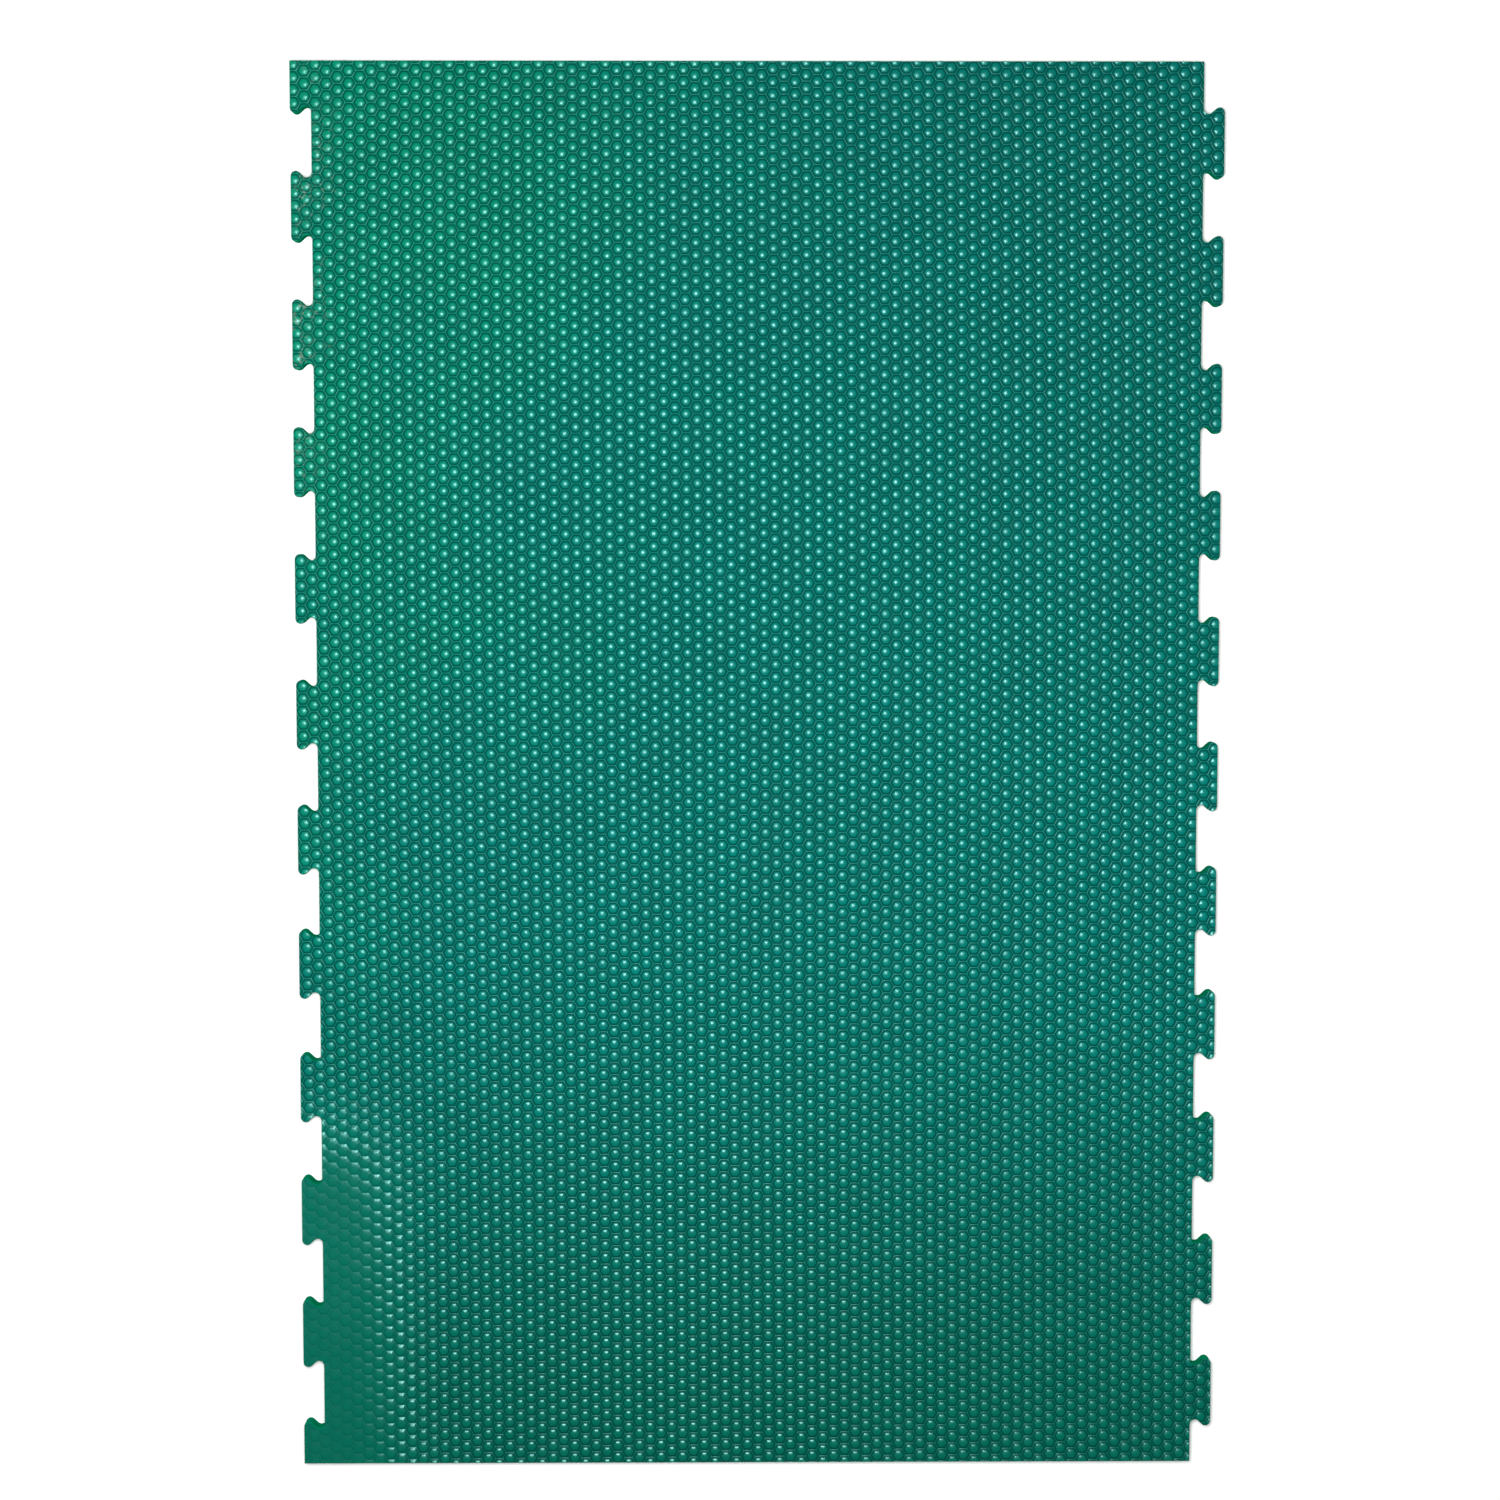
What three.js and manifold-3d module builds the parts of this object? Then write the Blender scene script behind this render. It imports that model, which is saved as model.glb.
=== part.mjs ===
// Foam stall mat: one piece of thick board with square-cut ends and a row of jigsaw tabs on each side.
// Millimetres. X runs across the mat, Y along it and Z up. The origin lies on the floor plane,
// under the middle of the mat.

import * as THREE from 'three';
import { mergeVertices } from 'three/addons/utils/BufferGeometryUtils.js';
import Module from 'manifold-3d';

// The board
const MAT_LENGTH = 1830;
const BODY_WIDTH = 1144; // between the roots of the tabs on the two sides
const THICKNESS = 24;

// The jigsaw edge
const TAB_REACH = 27; // from the root of a tab to its outer face
const TAB_PITCH = 163.4; // from one tab to the next along a side
const TAB_ACROSS = 90; // over the two rounded lobes of one tab
const LOBE_RADIUS = 6.5; // of a lobe, and of the pocket that takes the next mat's lobe
const FIRST_TAB = 103; // from the far end of the mat to the middle of the first tab on the right

// The sides are one cut line: a notch has the shape of a tab, so the neck of a tab is as wide as
// what the lobes of the next mat's tabs leave of the pitch.
const TAB_NECK = TAB_PITCH - TAB_ACROSS;

// A lobe and its pocket keep a short straight flank between them, which sets the largest round
// that this depth of tab and this overhang of its lobes can take.
const OVERHANG = (TAB_ACROSS - TAB_NECK) / 2;
const SHARED_ROUND = (TAB_REACH + OVERHANG - Math.sqrt(2 * TAB_REACH * Math.max(OVERHANG, 0))) / 2;
const SHORT_OF_SHARED = 0.99;
const ROUND = Math.min(LOBE_RADIUS, SHORT_OF_SHARED * SHARED_ROUND);
const LOBE_OFFSET = TAB_ACROSS / 2 - ROUND; // from the tab's middle to the centre of a lobe
const POCKET_OFFSET = TAB_NECK / 2 + ROUND; // from the tab's middle to the centre of a pocket

const ARC_STEPS = 6; // half the flats in each round of the cut line
const TRIM_MARGIN = 50; // how far the saw cut reaches past the board on every side

const foam = new THREE.MeshStandardMaterial({ color: 0x0a7a66, roughness: 0.5, metalness: 0 });

// Angle of the short straight flank that joins a pocket to a lobe, touching both rounds
function flankAngle() {
  const out = TAB_REACH - 2 * ROUND;
  const along = POCKET_OFFSET - LOBE_OFFSET;
  const between = Math.hypot(out, along);
  return Math.atan2(along, out) - Math.asin((2 * ROUND) / between);
}

// Draws one tab on the right-hand side, from the notch before it to the notch after it.
// The pen travels up the side, pocket and lobe first, then lobe and pocket again.
function drawTab(outline, root, middle) {
  const pocketX = root + ROUND;
  const lobeX = root + TAB_REACH - ROUND;
  const leave = flankAngle() + Math.PI / 2;
  const meet = flankAngle() - Math.PI / 2;
  outline.absarc(pocketX, middle - POCKET_OFFSET, ROUND, Math.PI, leave, true);
  outline.absarc(lobeX, middle - LOBE_OFFSET, ROUND, meet, 0, false);
  outline.absarc(lobeX, middle + LOBE_OFFSET, ROUND, 0, -meet, false);
  outline.absarc(pocketX, middle + POCKET_OFFSET, ROUND, -leave, -Math.PI, true);
}

// Middles of the tabs along one side, in order up the side, from past one end to past the other
function tabMiddles(start) {
  const reach = MAT_LENGTH / 2 + TAB_PITCH;
  const first = Math.ceil((-reach - start) / TAB_PITCH);
  const last = Math.floor((reach - start) / TAB_PITCH);
  return Array.from({ length: last - first + 1 }, (_, i) => start + (first + i) * TAB_PITCH);
}

// The side of the board as points, for the right-hand side; the left one is turned half round
function sidePoints(start) {
  const side = new THREE.Path();
  tabMiddles(start).forEach((middle) => drawTab(side, BODY_WIDTH / 2, middle));
  return side.getPoints(ARC_STEPS);
}

// The uncut strip: right side going up, then the left side coming down, its tabs half a pitch on
function stripOutline() {
  const rightStart = MAT_LENGTH / 2 - FIRST_TAB;
  const leftStart = rightStart + TAB_PITCH / 2;
  const right = sidePoints(rightStart);
  const left = sidePoints(-leftStart).map((point) => point.clone().negate());
  return new THREE.Shape([...right, ...left]);
}

const wasm = await Module();
wasm.setup();

function toSolid(geometry) {
  geometry.deleteAttribute('normal');
  geometry.deleteAttribute('uv');
  const merged = mergeVertices(geometry);
  return new wasm.Manifold(
    new wasm.Mesh({
      numProp: 3,
      vertProperties: new Float32Array(merged.attributes.position.array),
      triVerts: new Uint32Array(merged.index.array),
    }),
  );
}

function toGeometry(solid) {
  const mesh = solid.getMesh();
  const geometry = new THREE.BufferGeometry();
  geometry.setAttribute('position', new THREE.BufferAttribute(mesh.vertProperties, 3));
  geometry.setIndex(new THREE.BufferAttribute(mesh.triVerts, 1));
  geometry.computeVertexNormals();
  return geometry;
}

// The strip is sawn square at both ends, and any scrap of a lobe cut off from its tab falls away
function matSolid() {
  const strip = toSolid(new THREE.ExtrudeGeometry(stripOutline(), { depth: THICKNESS, bevelEnabled: false }));
  const kept = new THREE.BoxGeometry(
    BODY_WIDTH + 2 * (TAB_REACH + TRIM_MARGIN),
    MAT_LENGTH,
    THICKNESS + 2 * TRIM_MARGIN,
  );
  const pieces = strip.intersect(toSolid(kept)).decompose();
  return pieces.sort((a, b) => b.volume() - a.volume())[0];
}

const stallMat = new THREE.Mesh(toGeometry(matSolid()), foam);
stallMat.name = 'stall_mat';

const part = new THREE.Group();
part.add(stallMat);

export default part;
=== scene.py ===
# Stall mat of green closed-cell foam, seen from above on a pale studio floor.
# Metres, in the frame of the solids: X across the mat, Y along it, Z up from the floor.

import math

import bmesh
import bpy
from mathutils import Matrix, Vector


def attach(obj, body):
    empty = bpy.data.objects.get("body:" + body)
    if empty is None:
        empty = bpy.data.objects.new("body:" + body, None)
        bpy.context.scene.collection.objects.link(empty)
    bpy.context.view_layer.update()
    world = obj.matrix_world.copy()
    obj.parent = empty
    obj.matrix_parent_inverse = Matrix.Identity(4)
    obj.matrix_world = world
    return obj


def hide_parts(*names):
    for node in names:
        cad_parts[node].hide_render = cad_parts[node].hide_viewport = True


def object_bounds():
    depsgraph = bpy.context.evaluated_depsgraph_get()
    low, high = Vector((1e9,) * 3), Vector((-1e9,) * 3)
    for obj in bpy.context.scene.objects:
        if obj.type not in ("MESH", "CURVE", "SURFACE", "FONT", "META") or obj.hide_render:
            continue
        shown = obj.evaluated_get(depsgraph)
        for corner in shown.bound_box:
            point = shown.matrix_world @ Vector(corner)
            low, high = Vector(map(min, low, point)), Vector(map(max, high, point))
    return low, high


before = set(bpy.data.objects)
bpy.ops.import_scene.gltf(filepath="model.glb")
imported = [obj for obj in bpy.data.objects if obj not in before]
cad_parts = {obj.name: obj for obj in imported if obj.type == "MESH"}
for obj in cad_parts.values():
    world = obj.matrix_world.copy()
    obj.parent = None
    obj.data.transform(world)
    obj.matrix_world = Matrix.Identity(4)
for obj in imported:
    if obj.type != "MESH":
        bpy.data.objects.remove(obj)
solid_low, solid_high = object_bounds()

MM = 0.001
NODE = "stall_mat"

THICKNESS = solid_high.z - solid_low.z
TOP = solid_high.z

# Moulded top: hexagonal domes in upright columns, every other column half a dome along
COLUMN_PITCH = 14.28 * MM
ROW_PITCH = 16.25 * MM
DOME_RISE = 2.6 * MM  # from the valleys between the domes to their crowns
CROWN_RISE = 1.30 * MM  # of the crown above the shoulder around it
SHOULDER = 0.74  # where the crown ends and the flank begins, as a share of the way out to the valley
CROWN_POWER = 2.2  # how fast the crown curves down: 2 is an even curve, more is flatter in the middle
RIDGE_POWER = 9.0  # how sharp the six ridges of a dome are
SHOULDER_ROUND = 0.35 * MM
VALLEY_ROUND = 0.06  # width of the round in a valley's floor, as a share of the way in
PATTERN_TURN = math.radians(0.33)  # the mould pattern doesn't run quite true to the cut edges
PATTERN_SHIFT = Vector((-4.4, -4.7, 0)) * MM  # a dome's place next to the middle of the mat
SPARE_PAIRS = 2  # beyond the width of the mat
SPARE_ROWS = 4  # beyond its length
DOME_SEAM = 0.05 * MM  # edges of neighbouring domes that lie this close are one

# The pattern fades beside the left edge, towards the near end: X, then Y, from faded to full
FADE_ACROSS = (-0.56, -0.39)
FADE_ALONG = (-0.56, -0.36)
FADED_RELIEF = 0.12
FADED_MOSS = 0.6  # share of moss green where the pattern has faded

VALLEY = TOP - DOME_RISE
SHOULDER_RISE = DOME_RISE - CROWN_RISE
APOTHEM = ROW_PITCH / 2
CORNER_TURN = math.radians(30)  # from the middle of a hexagon's side to its corner
CORNER_REACH = APOTHEM / math.cos(CORNER_TURN)
STRETCH = COLUMN_PITCH / (ROW_PITCH * math.sqrt(3) / 2)  # across, against a regular hexagon

# Cut rim, a little rounded over by the saw
RIM_DEPTH = 3.0 * MM
RIM_INSET = 1.2 * MM
SOLID_SEAM = 0.01 * MM
FLAT_ENOUGH = math.radians(1)
FACING_UP = 0.99

# How far a face's normal turns up or down before the face is skin and not a cut side
SKIN_ABOVE = 0.6
SKIN_BELOW = -0.9

# Colours
SKIN_GREEN = (0.0, 0.156, 0.128)
# Lighter leaf green: painted light towards the left and the far end
PAINTED_LIGHT_GREEN = (0.0, 0.200, 0.114)
# Moss green: painted shade towards the near end, and the tone where the pattern has faded
MOSS_GREEN = (0.0, 0.102, 0.063)
# Deep green: painted shade towards the far right and down the flanks of the domes, and a cloudy tone
SHADE_AND_TONE_GREEN = (0.0, 0.040, 0.031)
SHEEN_TINT = (0.44, 1.0, 0.98, 1.0)
CUT_GREEN = (0.0, 0.19, 0.09)
DUST_GREY = (0.30, 0.34, 0.30)
FLOOR_WHITE = (0.88, 0.88, 0.88, 1.0)
ROOM_WHITE = (1.0, 1.0, 1.0, 1.0)

# Drift of the skin's colour over the mat: painted light towards the left and the far end, painted shade
# towards the near end and the far right. A slant is how much X and Y count in it
PAINTED_LIGHT_SLANT = (-0.5, 0.25)
PAINTED_LIGHT_CLOUD = (260 * MM, 0.45)  # size, share
PAINTED_LIGHT_SPAN = (0.3, 0.75)
NEAR_SHADE_SPAN = (-0.95, -0.15)
NEAR_SHADE_SHARE = 0.8
FAR_RIGHT_SHADE_SLANT = (0.45, 0.55)
FAR_RIGHT_SHADE_SPAN = (0.05, 0.75)
FAR_RIGHT_SHADE_SHARE = 0.26
CLOUD_SIZE = 55 * MM
CLOUD_SPAN = (0.25, 0.75)
CLOUD_SHARE = 0.18

# Painted shade on the flanks of the domes: where the colour deepens and lightens again, as shares of the way
# out
FLANK_SHADE_IN = (0.55, 0.82)
FLANK_SHADE_OUT = (0.86, 0.98)
PAINTED_FLANK_SHADE = 0.85
FADED_PAINTED_FLANK_SHADE = PAINTED_FLANK_SHADE / 4
VALLEY_PAINTED_SHADE = 0.15  # what is left of the flank's painted shade down in the valley

# Dust: where it lies, the sizes of its specks and patches, and how much it covers
DUST_ACROSS = (-0.60, -0.52)
DUST_ALONG = (0.25, 0.62)
SPECK_SIZE = 5 * MM
SPECK_SPAN = (0.52, 0.72)
PATCH_SIZE = 70 * MM
PATCH_SPAN = (0.45, 0.65)
DUST_SHARE = 0.65

# Grain of the skin: the width and height of its pebbles, its fine grain and its slow sway
SKIN_LUMPS = (
    (1.6 * MM, 0.05 * MM),
    (0.5 * MM, 0.012 * MM),
    (20 * MM, 0.35 * MM),
)

# Gloss
MOST_NOISE = (0.2, 0.8)  # nearly all of a noise lies within this span
DOMED_ROUGHNESS = (0.23, 0.30)
DOMED_LUMP = 30 * MM
DOMED_SPECULAR = 0.42
DULL_SPAN = (0.88, 0.96)
VALLEY_DULL = 0.04
PLAIN_ROUGHNESS = (0.5, 0.62)
PLAIN_LUMP = 25 * MM

# Cut foam: open cells in the sawn sides, with painted shade in their pits
FOAM_CELL = 0.8 * MM
CELL_WALL = 0.7  # where the shade of a cell has ended, in cells from its middle
CELL_SHADE = 0.6
PIT_DEPTH = 0.15 * MM
CUT_ROUGHNESS = 0.75

# Studio
FLOOR_REACH = 40
FLOOR_ROUGHNESS = 0.9
FLOOR_SPECULAR = 0.1
ROOM_LIGHT = 0.40
KEY_PLACE = (-0.20, 0.36, 3.3)
KEY_SIZE = 1.2
KEY_WATTS = 150
CAMERA_PLACE = (-0.0501, 0.3534, 4.1712)
CAMERA_AIM = (-0.0103, 0.0309, TOP)
CAMERA_LENS = 76.8
CAMERA_SENSOR = 36
CAMERA_SIGHT = 100
FAR_END = Vector((0, 1, 0))


# Meshes

def verts_of(geometry):
    return [part for part in geometry if isinstance(part, bmesh.types.BMVert)]


def dome_pair():
    """Two neighbouring domes, one from each kind of column, with flanks and a crown."""
    bm = bmesh.new()
    turn = Matrix.Rotation(CORNER_TURN, 4, "Z")
    bmesh.ops.create_circle(bm, cap_ends=True, segments=6, radius=CORNER_REACH, matrix=turn)
    crown = bm.faces[:]
    flank = APOTHEM * (1 - SHOULDER)
    bmesh.ops.inset_region(bm, faces=crown, thickness=flank, use_boundary=True, use_even_offset=True)
    bmesh.ops.translate(bm, verts=crown[0].verts, vec=(0, 0, SHOULDER_RISE))
    tip = bmesh.ops.poke(bm, faces=crown)["verts"]
    bmesh.ops.translate(bm, verts=tip, vec=(0, 0, CROWN_RISE))
    bmesh.ops.scale(bm, verts=bm.verts, vec=(STRETCH, 1, 1))
    bmesh.ops.translate(bm, verts=bm.verts, vec=(0, 0, VALLEY))
    twin = bmesh.ops.duplicate(bm, geom=bm.verts[:] + bm.edges[:] + bm.faces[:])["geom"]
    bmesh.ops.translate(bm, verts=verts_of(twin), vec=(COLUMN_PITCH, APOTHEM, 0))
    return bm


def object_from(name, bm):
    mesh = bpy.data.meshes.new(name)
    bm.to_mesh(mesh)
    bm.free()
    made = bpy.data.objects.new(name, mesh)
    bpy.context.scene.collection.objects.link(made)
    return made


def evaluated_bmesh(thing):
    """The mesh of an object with its modifiers applied."""
    graph = bpy.context.evaluated_depsgraph_get()
    bm = bmesh.new()
    bm.from_object(thing, graph)
    return bm


def discard(thing):
    mesh = thing.data
    bpy.data.objects.remove(thing)
    bpy.data.meshes.remove(mesh)


def smooth_step(value, start, end):
    share = min(max((value - start) / (end - start), 0.0), 1.0)
    return share * share * (3 - 2 * share)


def relief_at(x, y):
    """How much of the full relief the domes have at a place on the mat."""
    faded = (1 - smooth_step(x, *FADE_ACROSS)) * (1 - smooth_step(y, *FADE_ALONG))
    return 1 - faded * (1 - FADED_RELIEF)


def field_of_domes():
    """Domes in rows and columns over more than the whole mat, faded where the pattern fades."""
    pair = object_from("dome_pair", dome_pair())
    across = math.ceil((solid_high.x - solid_low.x) / (2 * COLUMN_PITCH)) + SPARE_PAIRS
    along = math.ceil((solid_high.y - solid_low.y) / ROW_PITCH) + SPARE_ROWS
    for name, count, step in (
        ("columns", across, (2 * COLUMN_PITCH, 0, 0)),
        ("rows", along, (0, ROW_PITCH, 0)),
    ):
        repeat = pair.modifiers.new(name, "ARRAY")
        repeat.use_relative_offset = False
        repeat.use_constant_offset = True
        repeat.constant_offset_displace = step
        repeat.count = count
    bm = evaluated_bmesh(pair)
    discard(pair)
    bmesh.ops.remove_doubles(bm, verts=bm.verts, dist=DOME_SEAM)
    start = Vector((-(across // 2) * 2 * COLUMN_PITCH, -(along // 2) * ROW_PITCH, 0))
    bmesh.ops.translate(bm, verts=bm.verts, vec=start)
    place = Matrix.Translation(PATTERN_SHIFT) @ Matrix.Rotation(PATTERN_TURN, 4, "Z")
    bmesh.ops.transform(bm, matrix=place, verts=bm.verts)
    for vert in bm.verts:
        vert.co.z = TOP - (TOP - vert.co.z) * relief_at(vert.co.x, vert.co.y)
    return bm


def domed_block():
    """A closed block with domes on top, larger than the mat all round, from which the mat is cut."""
    bm = field_of_domes()
    rim = [edge for edge in bm.edges if edge.is_boundary]
    skirt = bmesh.ops.extrude_edge_only(bm, edges=rim)["geom"]
    for vert in verts_of(skirt):
        vert.co.z = -THICKNESS
    hem = [part for part in skirt if isinstance(part, bmesh.types.BMEdge) and part.is_boundary]
    bmesh.ops.edgeloop_fill(bm, edges=hem)
    bmesh.ops.recalc_face_normals(bm, faces=bm.faces)
    return object_from("domed_block", bm)


def jigsaw_cutter():
    """The outline of the solid mat as a closed prism, its upper edge drawn in to round the rim."""
    bm = bmesh.new()
    bm.from_mesh(bpy.data.objects[NODE].data)
    bmesh.ops.remove_doubles(bm, verts=bm.verts, dist=SOLID_SEAM)
    bmesh.ops.dissolve_limit(bm, angle_limit=FLAT_ENOUGH, verts=bm.verts, edges=bm.edges)
    top = [face for face in bm.faces if face.normal.z > FACING_UP]
    top_verts = {vert for face in top for vert in face.verts}
    bmesh.ops.translate(bm, verts=list(top_verts), vec=(0, 0, -RIM_DEPTH))
    overshoot = 2
    bmesh.ops.inset_region(bm, faces=top, thickness=RIM_INSET * overshoot, use_even_offset=True)
    raised = {vert for face in top for vert in face.verts}
    bmesh.ops.translate(bm, verts=list(raised), vec=(0, 0, RIM_DEPTH * overshoot))
    return object_from("jigsaw_cutter", bm)


def cut_mat():
    """The mat in one piece: the domed block within the jigsaw outline, from the floor up."""
    block = domed_block()
    cutter = jigsaw_cutter()
    cut = block.modifiers.new("outline", "BOOLEAN")
    cut.operation = "INTERSECT"
    cut.solver = "MANIFOLD"
    cut.object = cutter
    bm = evaluated_bmesh(block)
    discard(block)
    discard(cutter)
    return bm


# Node helpers

def new_material(name):
    material = bpy.data.materials.new(name)
    material.use_nodes = True
    return material, material.node_tree.nodes["Principled BSDF"]


def feed(tree, socket, value):
    if isinstance(value, bpy.types.NodeSocket):
        tree.links.new(value, socket)
    else:
        socket.default_value = value


def calc(tree, operation, *values):
    """One step of arithmetic on numbers."""
    node = tree.nodes.new("ShaderNodeMath")
    node.operation = operation
    for socket, value in zip(node.inputs, values):
        feed(tree, socket, value)
    return node.outputs[0]


def added(tree, terms):
    total, *others = terms
    for term in others:
        total = calc(tree, "ADD", total, term)
    return total


def steps(tree, value, start, end, low=0.0, high=1.0):
    """A smooth step from low to high as the value goes from start to end."""
    node = tree.nodes.new("ShaderNodeMapRange")
    node.interpolation_type = "SMOOTHSTEP"
    feed(tree, node.inputs["Value"], value)
    node.inputs["From Min"].default_value = start
    node.inputs["From Max"].default_value = end
    node.inputs["To Min"].default_value = low
    node.inputs["To Max"].default_value = high
    return node.outputs["Result"]


def place_of(tree):
    return tree.nodes.new("ShaderNodeTexCoord").outputs["Object"]


def x_and_y(tree, place):
    split = tree.nodes.new("ShaderNodeSeparateXYZ")
    tree.links.new(place, split.inputs[0])
    return split.outputs["X"], split.outputs["Y"]


def slanted(tree, place, slant):
    """A sum of X and Y, each counted as the slant says."""
    terms = [calc(tree, "MULTIPLY", part, weight) for part, weight in zip(x_and_y(tree, place), slant)]
    return added(tree, terms)


def noise(tree, place, size, detail=2.0, roughness=0.5):
    """Cloudy noise between 0 and 1, its lumps about as wide as size."""
    node = tree.nodes.new("ShaderNodeTexNoise")
    tree.links.new(place, node.inputs["Vector"])
    node.inputs["Scale"].default_value = 1 / size
    node.inputs["Detail"].default_value = detail
    node.inputs["Roughness"].default_value = roughness
    return node.outputs["Fac"]


def blend_colours(tree, factor, first, second):
    node = tree.nodes.new("ShaderNodeMix")
    node.data_type = "RGBA"
    feed(tree, node.inputs["Factor"], factor)
    for socket, colour in ((node.inputs[6], first), (node.inputs[7], second)):
        feed(tree, socket, (*colour, 1.0) if isinstance(colour, tuple) else colour)
    return node.outputs[2]


def bump(tree, height):
    """Relief from a height in metres."""
    node = tree.nodes.new("ShaderNodeBump")
    node.inputs["Distance"].default_value = 1.0
    tree.links.new(height, node.inputs["Height"])
    return node.outputs["Normal"]


# Foam skin

def into_cell(tree, share, shift):
    """How far a point is from the middle of its cell, from -0.5 to 0.5, with the cells shifted."""
    return calc(tree, "SUBTRACT", calc(tree, "FRACT", calc(tree, "ADD", share, shift)), 0.5)


def pick(tree, which, first, second):
    """The first value where which is 0, and the second where it is 1."""
    gap = calc(tree, "SUBTRACT", second, first)
    return calc(tree, "ADD", first, calc(tree, "MULTIPLY", which, gap))


def cell_offsets(tree, place):
    """How far a point is from the middle of its dome, as shares of the pattern's two steps."""
    mapping = tree.nodes.new("ShaderNodeMapping")
    mapping.vector_type = "TEXTURE"
    mapping.inputs["Location"].default_value = PATTERN_SHIFT
    mapping.inputs["Rotation"].default_value = (0, 0, PATTERN_TURN)
    mapping.inputs["Scale"].default_value = (2 * COLUMN_PITCH, ROW_PITCH, 1)
    tree.links.new(place, mapping.inputs["Vector"])
    shares = x_and_y(tree, mapping.outputs["Vector"])
    even, odd = [[into_cell(tree, share, shift) for share in shares] for shift in (0.5, 0.0)]
    nearer_odd = calc(tree, "LESS_THAN", hexagon_reach(tree, *odd), hexagon_reach(tree, *even))
    return [pick(tree, nearer_odd, *pair) for pair in zip(even, odd)]


def hexagon_sides(tree, across, along):
    """How far out a point is towards each of the three pairs of sides: 1 at the side."""
    wide = calc(tree, "MULTIPLY", across, 3.0)
    return (
        calc(tree, "ABSOLUTE", calc(tree, "MULTIPLY", along, 2.0)),
        calc(tree, "ABSOLUTE", calc(tree, "ADD", wide, along)),
        calc(tree, "ABSOLUTE", calc(tree, "SUBTRACT", wide, along)),
    )


def hexagon_reach(tree, across, along):
    """How far out a point is in its dome: 0 in the middle and 1 in the valley."""
    first, second, third = hexagon_sides(tree, across, along)
    return calc(tree, "MAXIMUM", first, calc(tree, "MAXIMUM", second, third))


def soft_reach(tree, across, along):
    """As hexagon_reach, with the hexagon's corners rounded off."""
    sides = hexagon_sides(tree, across, along)
    total = added(tree, [calc(tree, "POWER", side, RIDGE_POWER) for side in sides])
    return calc(tree, "POWER", total, 1 / RIDGE_POWER)


def relief_share(tree, place):
    """The same share of the full relief as relief_at gives to the mesh."""
    x, y = x_and_y(tree, place)
    beside = steps(tree, x, *FADE_ACROSS, 1.0, 0.0)
    near = steps(tree, y, *FADE_ALONG, 1.0, 0.0)
    faded = calc(tree, "MULTIPLY", beside, near)
    return calc(tree, "SUBTRACT", 1.0, calc(tree, "MULTIPLY", faded, 1 - FADED_RELIEF))


def moulded_rounding(tree, sharp, soft):
    """What the true rounded domes add to the flat facets of the mesh, as a height."""
    slope = SHOULDER_RISE / (1 - SHOULDER)

    def flank(reach):
        return calc(tree, "MULTIPLY", calc(tree, "SUBTRACT", 1.0, reach), slope)

    facet_crown = calc(tree, "SUBTRACT", DOME_RISE, calc(tree, "MULTIPLY", sharp, CROWN_RISE / SHOULDER))
    facets = calc(tree, "MINIMUM", flank(sharp), facet_crown)
    curve = calc(tree, "POWER", calc(tree, "DIVIDE", soft, SHOULDER), CROWN_POWER)
    round_crown = calc(tree, "SUBTRACT", DOME_RISE, calc(tree, "MULTIPLY", curve, CROWN_RISE))
    rounded = calc(tree, "SMOOTH_MIN", flank(soft), round_crown, SHOULDER_ROUND)
    into_valley = calc(tree, "MAXIMUM", calc(tree, "SUBTRACT", sharp, 1 - VALLEY_ROUND), 0.0)
    squared = calc(tree, "MULTIPLY", into_valley, into_valley)
    fillet = calc(tree, "MULTIPLY", squared, slope / (2 * VALLEY_ROUND))
    return calc(tree, "SUBTRACT", calc(tree, "ADD", rounded, fillet), facets)


def skin_grain(tree, place):
    """The fine, slightly orange-peel skin of moulded foam, as a height."""
    return added(tree, [
        calc(tree, "MULTIPLY", noise(tree, place, size), height)
        for size, height in SKIN_LUMPS
    ])


def skin_colour(tree, place):
    """Blue-green, drifting to a lighter leaf green towards the left and far end as painted light, to moss
    green towards the near end and a deeper green towards the far right as painted shade, and a little cloudy.
    """
    cloud_size, cloud_share = PAINTED_LIGHT_CLOUD
    cloud = calc(tree, "MULTIPLY", noise(tree, place, cloud_size), cloud_share)
    # Painted light: lighter and greener towards the left and the far end, with a cloudy drift
    painted_light = calc(tree, "ADD", slanted(tree, place, PAINTED_LIGHT_SLANT), cloud)
    colour = blend_colours(tree, steps(tree, painted_light, *PAINTED_LIGHT_SPAN), SKIN_GREEN, PAINTED_LIGHT_GREEN)
    # Painted shade towards the near end
    near = steps(tree, x_and_y(tree, place)[1], *NEAR_SHADE_SPAN, NEAR_SHADE_SHARE, 0.0)
    colour = blend_colours(tree, near, colour, MOSS_GREEN)
    # Painted shade towards the far right
    far_right_shade = steps(tree, slanted(tree, place, FAR_RIGHT_SHADE_SLANT), *FAR_RIGHT_SHADE_SPAN, 0.0, FAR_RIGHT_SHADE_SHARE)
    colour = blend_colours(tree, far_right_shade, colour, SHADE_AND_TONE_GREEN)
    clouds = noise(tree, place, CLOUD_SIZE, detail=4.0, roughness=0.6)
    clouds = steps(tree, clouds, *CLOUD_SPAN, 0.0, CLOUD_SHARE)
    return blend_colours(tree, clouds, colour, SHADE_AND_TONE_GREEN)


def mossier_where_faded(tree, relief, colour):
    """The colour a little more mossy where the pattern has faded."""
    return blend_colours(tree, steps(tree, relief, FADED_RELIEF, 1.0, FADED_MOSS, 0.0), colour, MOSS_GREEN)


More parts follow.
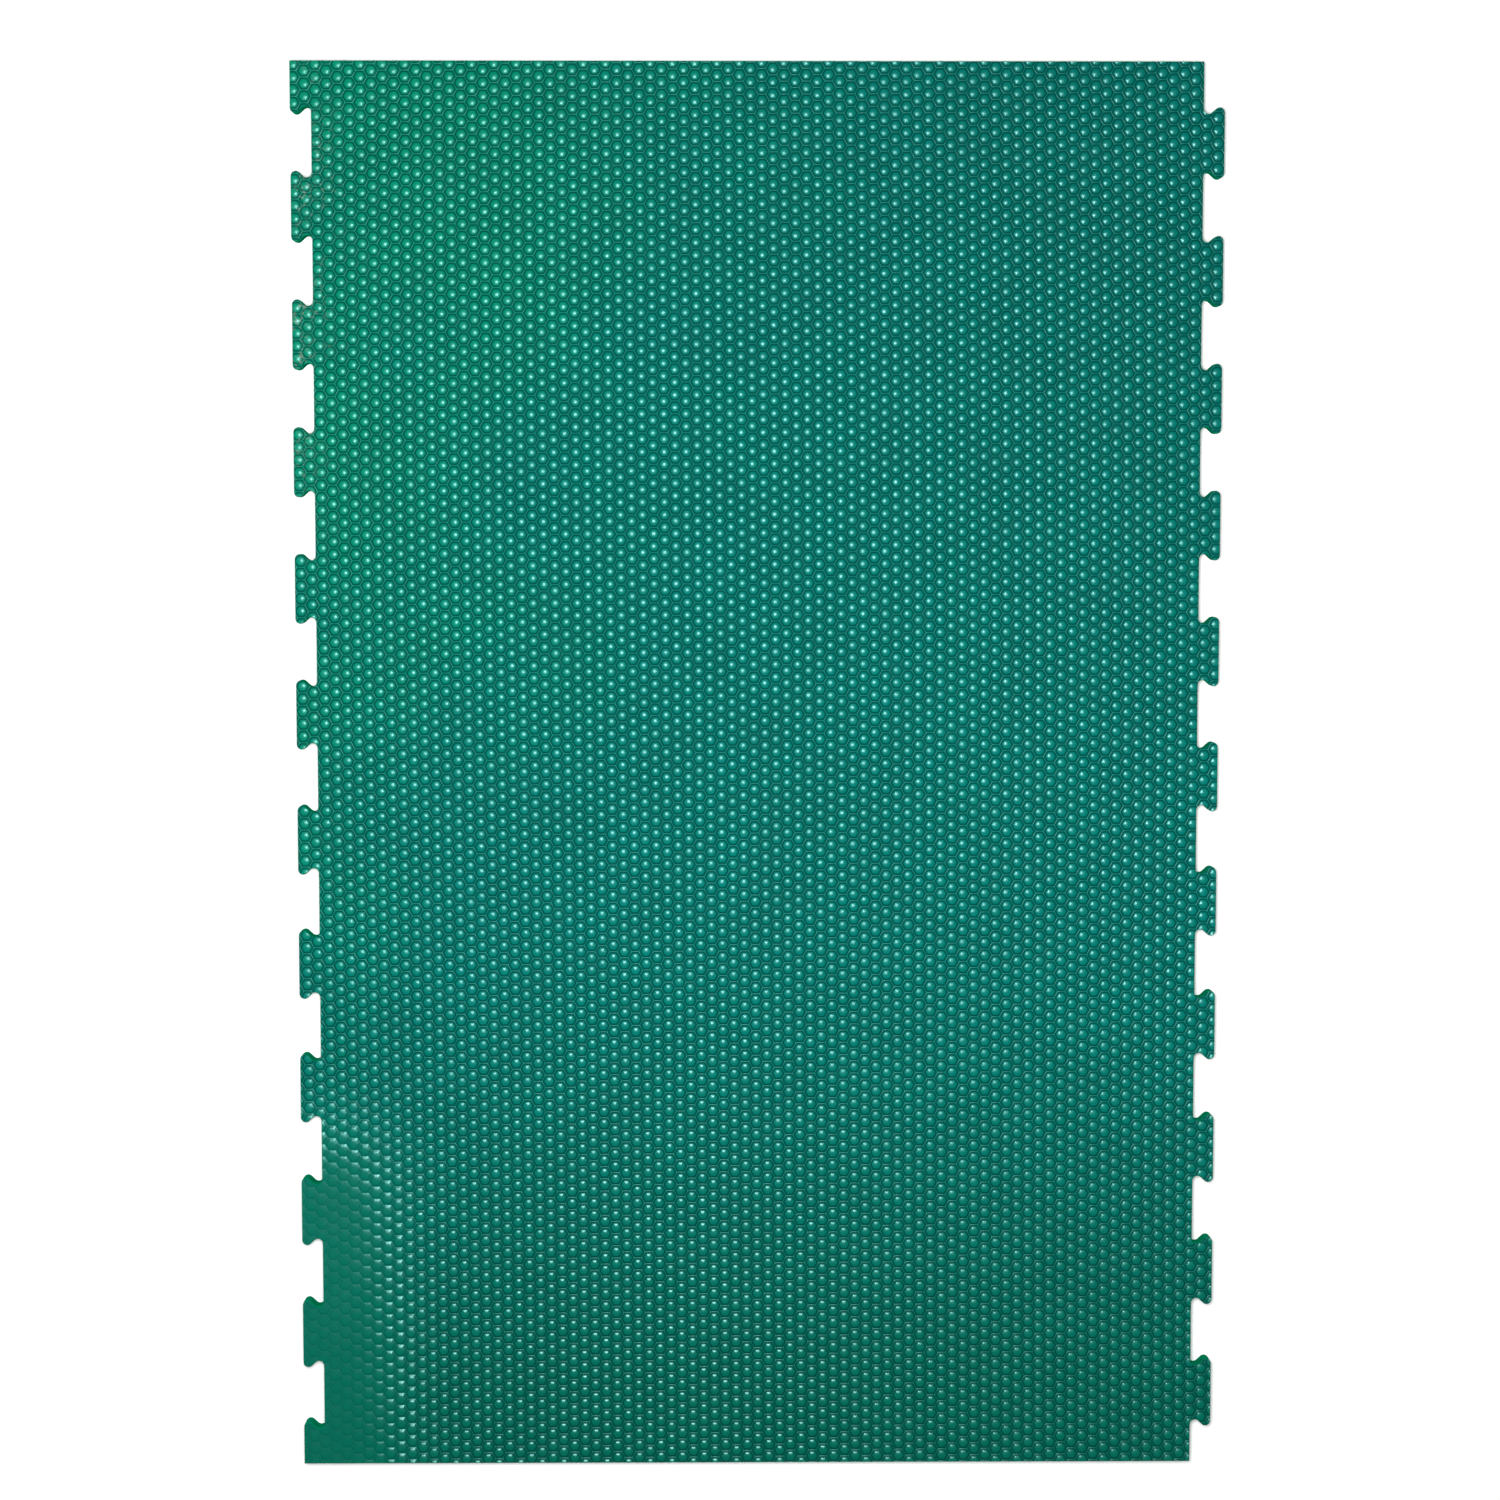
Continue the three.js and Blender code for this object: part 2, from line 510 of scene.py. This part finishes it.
def shade_painted_on_flanks(tree, colour, soft, relief):
    """The colour deeper on the steep flanks, as painted shade."""
    down = steps(tree, soft, *FLANK_SHADE_IN)
    up_again = steps(tree, soft, *FLANK_SHADE_OUT, 1.0, VALLEY_PAINTED_SHADE)
    most_flank_shade = steps(tree, relief, FADED_RELIEF, 1.0, FADED_PAINTED_FLANK_SHADE, PAINTED_FLANK_SHADE)
    # Painted shade down the flanks, lifting again in the valley
    flank_shade_share = calc(tree, "MULTIPLY", calc(tree, "MULTIPLY", down, up_again), most_flank_shade)
    return blend_colours(tree, flank_shade_share, colour, SHADE_AND_TONE_GREEN)


def dusted(tree, place, colour):
    """Dry grey dust caught on the far left tabs."""
    x, y = x_and_y(tree, place)
    left = steps(tree, x, *DUST_ACROSS, 1.0, 0.0)
    far = steps(tree, y, *DUST_ALONG)
    specks = steps(tree, noise(tree, place, SPECK_SIZE, detail=3.0, roughness=0.7), *SPECK_SPAN)
    patches = steps(tree, noise(tree, place, PATCH_SIZE), *PATCH_SPAN)
    share = calc(tree, "MULTIPLY", calc(tree, "MULTIPLY", left, far), calc(tree, "MULTIPLY", specks, patches))
    return blend_colours(tree, calc(tree, "MULTIPLY", share, DUST_SHARE), colour, DUST_GREY)


def domed_skin():
    material, shader = new_material("domed_skin")
    tree = material.node_tree
    place = place_of(tree)
    cell = cell_offsets(tree, place)
    sharp = hexagon_reach(tree, *cell)
    soft = soft_reach(tree, *cell)
    relief = relief_share(tree, place)
    colour = mossier_where_faded(tree, relief, skin_colour(tree, place))
    # Painted shade on the flanks of the domes
    colour = shade_painted_on_flanks(tree, colour, soft, relief)
    tree.links.new(dusted(tree, place, colour), shader.inputs["Base Color"])
    gloss = steps(tree, noise(tree, place, DOMED_LUMP, detail=3.0), *MOST_NOISE, *DOMED_ROUGHNESS)
    dull_valley = steps(tree, sharp, *DULL_SPAN, 0.0, VALLEY_DULL)
    tree.links.new(calc(tree, "ADD", gloss, dull_valley), shader.inputs["Roughness"])
    shader.inputs["Specular Tint"].default_value = SHEEN_TINT
    shader.inputs["Specular IOR Level"].default_value = DOMED_SPECULAR
    rounding = calc(tree, "MULTIPLY", moulded_rounding(tree, sharp, soft), relief)
    height = calc(tree, "ADD", rounding, skin_grain(tree, place))
    tree.links.new(bump(tree, height), shader.inputs["Normal"])
    return material


def plain_skin():
    material, shader = new_material("plain_skin")
    tree = material.node_tree
    place = place_of(tree)
    tree.links.new(skin_colour(tree, place), shader.inputs["Base Color"])
    gloss = steps(tree, noise(tree, place, PLAIN_LUMP, detail=3.0), *MOST_NOISE, *PLAIN_ROUGHNESS)
    tree.links.new(gloss, shader.inputs["Roughness"])
    shader.inputs["Specular Tint"].default_value = SHEEN_TINT
    tree.links.new(bump(tree, skin_grain(tree, place)), shader.inputs["Normal"])
    return material


def cut_foam():
    material, shader = new_material("cut_foam")
    tree = material.node_tree
    cells = tree.nodes.new("ShaderNodeTexVoronoi")
    tree.links.new(place_of(tree), cells.inputs["Vector"])
    cells.inputs["Scale"].default_value = 1 / FOAM_CELL
    shade = steps(tree, cells.outputs["Distance"], 0.0, CELL_WALL)
    # The middle of each open cell painted darker, as shade in its pit
    dark = tuple(CELL_SHADE * part for part in CUT_GREEN)
    tree.links.new(blend_colours(tree, shade, dark, CUT_GREEN), shader.inputs["Base Color"])
    shader.inputs["Roughness"].default_value = CUT_ROUGHNESS
    shader.inputs["Specular Tint"].default_value = SHEEN_TINT
    shader.inputs["Specular IOR Level"].default_value = 0.0
    pits = calc(tree, "MULTIPLY", cells.outputs["Distance"], PIT_DEPTH)
    tree.links.new(bump(tree, pits), shader.inputs["Normal"])
    return material


def dress(bm):
    """Gives each face its finish: domed skin above, cut foam on the sides, plain skin below."""
    domes, cut, underside = 0, 1, 2
    bm.normal_update()
    for face in bm.faces:
        if face.normal.z > SKIN_ABOVE:
            face.material_index = domes
        elif face.normal.z < SKIN_BELOW:
            face.material_index = underside
        else:
            face.material_index = cut
    return bm


def stall_mat():
    mat = object_from("stall_mat_foam", dress(cut_mat()))
    for finish in (domed_skin(), cut_foam(), plain_skin()):
        mat.data.materials.append(finish)
    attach(mat, "root")
    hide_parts(NODE)


# Studio

def studio_floor():
    bm = bmesh.new()
    bmesh.ops.create_grid(bm, x_segments=1, y_segments=1, size=FLOOR_REACH)
    floor = object_from("studio_floor", bm)
    material, shader = new_material("floor_white")
    shader.inputs["Base Color"].default_value = FLOOR_WHITE
    shader.inputs["Roughness"].default_value = FLOOR_ROUGHNESS
    shader.inputs["Specular IOR Level"].default_value = FLOOR_SPECULAR
    floor.data.materials.append(material)


def turned_to(place, aim):
    """The pose of something at a place that looks along -Z at an aim, with the far end upward."""
    forward = (Vector(aim) - Vector(place)).normalized()
    right = forward.cross(FAR_END).normalized()
    turn = Matrix((right, right.cross(forward), -forward)).transposed().to_4x4()
    return Matrix.Translation(place) @ turn


def overhead_disk():
    """A soft round light above the mat, straight over the place that it lights most."""
    lamp = bpy.data.lights.new("overhead", "AREA")
    lamp.shape = "DISK"
    lamp.size = KEY_SIZE
    lamp.energy = KEY_WATTS
    held = bpy.data.objects.new("overhead", lamp)
    held.matrix_world = turned_to(KEY_PLACE, (*KEY_PLACE[:2], 0.0))
    bpy.context.scene.collection.objects.link(held)


def pale_room():
    """Even soft light from pale walls all round, which doesn't show in the gloss of the foam."""
    world = bpy.data.worlds.new("pale_room")
    bpy.context.scene.world = world
    world.use_nodes = True
    background = world.node_tree.nodes["Background"]
    background.inputs["Color"].default_value = ROOM_WHITE
    background.inputs["Strength"].default_value = ROOM_LIGHT
    world.cycles_visibility.glossy = False


def studio_camera():
    lens = bpy.data.cameras.new("camera")
    lens.lens = CAMERA_LENS
    lens.sensor_width = CAMERA_SENSOR
    lens.clip_end = CAMERA_SIGHT
    held = bpy.data.objects.new("camera", lens)
    held.matrix_world = turned_to(CAMERA_PLACE, CAMERA_AIM)
    bpy.context.scene.collection.objects.link(held)
    bpy.context.scene.camera = held


stall_mat()
studio_floor()
overhead_disk()
pale_room()
studio_camera()
bpy.context.scene.view_settings.view_transform = "Standard"
